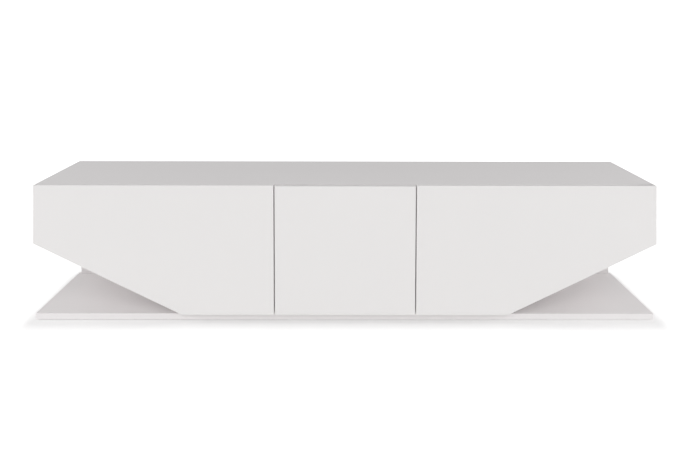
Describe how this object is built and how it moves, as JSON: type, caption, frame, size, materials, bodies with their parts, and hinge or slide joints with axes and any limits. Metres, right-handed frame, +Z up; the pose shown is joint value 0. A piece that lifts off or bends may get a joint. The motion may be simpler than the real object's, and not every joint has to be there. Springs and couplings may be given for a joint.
{
  "type": "tv stand with doors",
  "caption": "Low media stand with slanted lower ends on a flat floor plate, closed by handle-less push-to-open doors hiding shelved compartments.",
  "frame": {"origin": "on the floor, under the middle of the overall box", "axes": "+X along the width to the right, -Y to the front with the doors, +Z up"},
  "size_m": [1.8, 0.45, 0.4],
  "materials": {
    "carcass_lacquer": "matt white lacquer on fibreboard",
    "door_lacquer": "satin white lacquer on fibreboard",
    "felt": "dense felt",
    "beech": "raw fluted beech",
    "zinc": "zinc plated",
    "nickel": "satin nickel plated",
    "steel": "bright drawn steel",
    "grey_plastic": "moulded, fine texture",
    "white_plastic": "moulded, smooth"
  },
  "bodies": {
    "cabinet": {"base_panel": "carcass_lacquer", "base_glides": "felt", "base_screws": "zinc", "bottom_panel": "carcass_lacquer", "top_panel": "carcass_lacquer", "left_side_panel": "carcass_lacquer", "right_side_panel": "carcass_lacquer", "left_slant_panel": "carcass_lacquer", "right_slant_panel": "carcass_lacquer", "left_partition": "carcass_lacquer", "right_partition": "carcass_lacquer", "partition_dowels": "beech", "cam_locks": "zinc", "cam_bolts": "zinc", "back_panel": "carcass_lacquer", "back_screws": "zinc", "cable_grommets": "grey_plastic", "left_shelf": "carcass_lacquer", "centre_shelf": "carcass_lacquer", "right_shelf": "carcass_lacquer", "shelf_pins": "zinc", "hinge_plates": "nickel", "hinge_arms": "nickel", "hinge_plate_screws": "zinc", "hinge_arm_screws": "zinc", "latch_bodies": "grey_plastic", "latch_screws": "zinc", "left_latch_spring": "steel", "centre_latch_spring": "steel", "right_latch_spring": "steel"},
    "left_door_leaf": {"left_door": "door_lacquer", "left_hinge_cups": "nickel", "left_hinge_pins": "steel", "left_cup_screws": "zinc", "left_strike_plate": "steel"},
    "centre_door_leaf": {"centre_door": "door_lacquer", "centre_hinge_cups": "nickel", "centre_hinge_pins": "steel", "centre_cup_screws": "zinc", "centre_strike_plate": "steel"},
    "right_door_leaf": {"right_door": "door_lacquer", "right_hinge_cups": "nickel", "right_hinge_pins": "steel", "right_cup_screws": "zinc", "right_strike_plate": "steel"},
    "left_plunger": {"left_latch_plunger": "white_plastic"},
    "centre_plunger": {"centre_latch_plunger": "white_plastic"},
    "right_plunger": {"right_latch_plunger": "white_plastic"}
  },
  "joints": [
    {"name": "left_door_swing", "type": "hinge", "parent": "cabinet", "child": "left_door_leaf", "pos_m": [-0.214, -0.219, 0.2], "axis": [0, 0, 1], "range_deg": [0, 90]},
    {"name": "centre_door_swing", "type": "hinge", "parent": "cabinet", "child": "centre_door_leaf", "pos_m": [-0.194, -0.219, 0.2], "axis": [0, 0, -1], "range_deg": [0, 90]},
    {"name": "right_door_swing", "type": "hinge", "parent": "cabinet", "child": "right_door_leaf", "pos_m": [0.214, -0.219, 0.2], "axis": [0, 0, -1], "range_deg": [0, 90]},
    {"name": "left_latch_push", "type": "slide", "parent": "cabinet", "child": "left_plunger", "axis": [0, 1, 0], "range_m": [0, 0.0025], "stiffness_N_per_m": 400, "springref_m": -0.012, "deforming": ["left_latch_spring"]},
    {"name": "centre_latch_push", "type": "slide", "parent": "cabinet", "child": "centre_plunger", "axis": [0, 1, 0], "range_m": [0, 0.0025], "stiffness_N_per_m": 400, "springref_m": -0.012, "deforming": ["centre_latch_spring"]},
    {"name": "right_latch_push", "type": "slide", "parent": "cabinet", "child": "right_plunger", "axis": [0, 1, 0], "range_m": [0, 0.0025], "stiffness_N_per_m": 400, "springref_m": -0.012, "deforming": ["right_latch_spring"]}
  ]
}
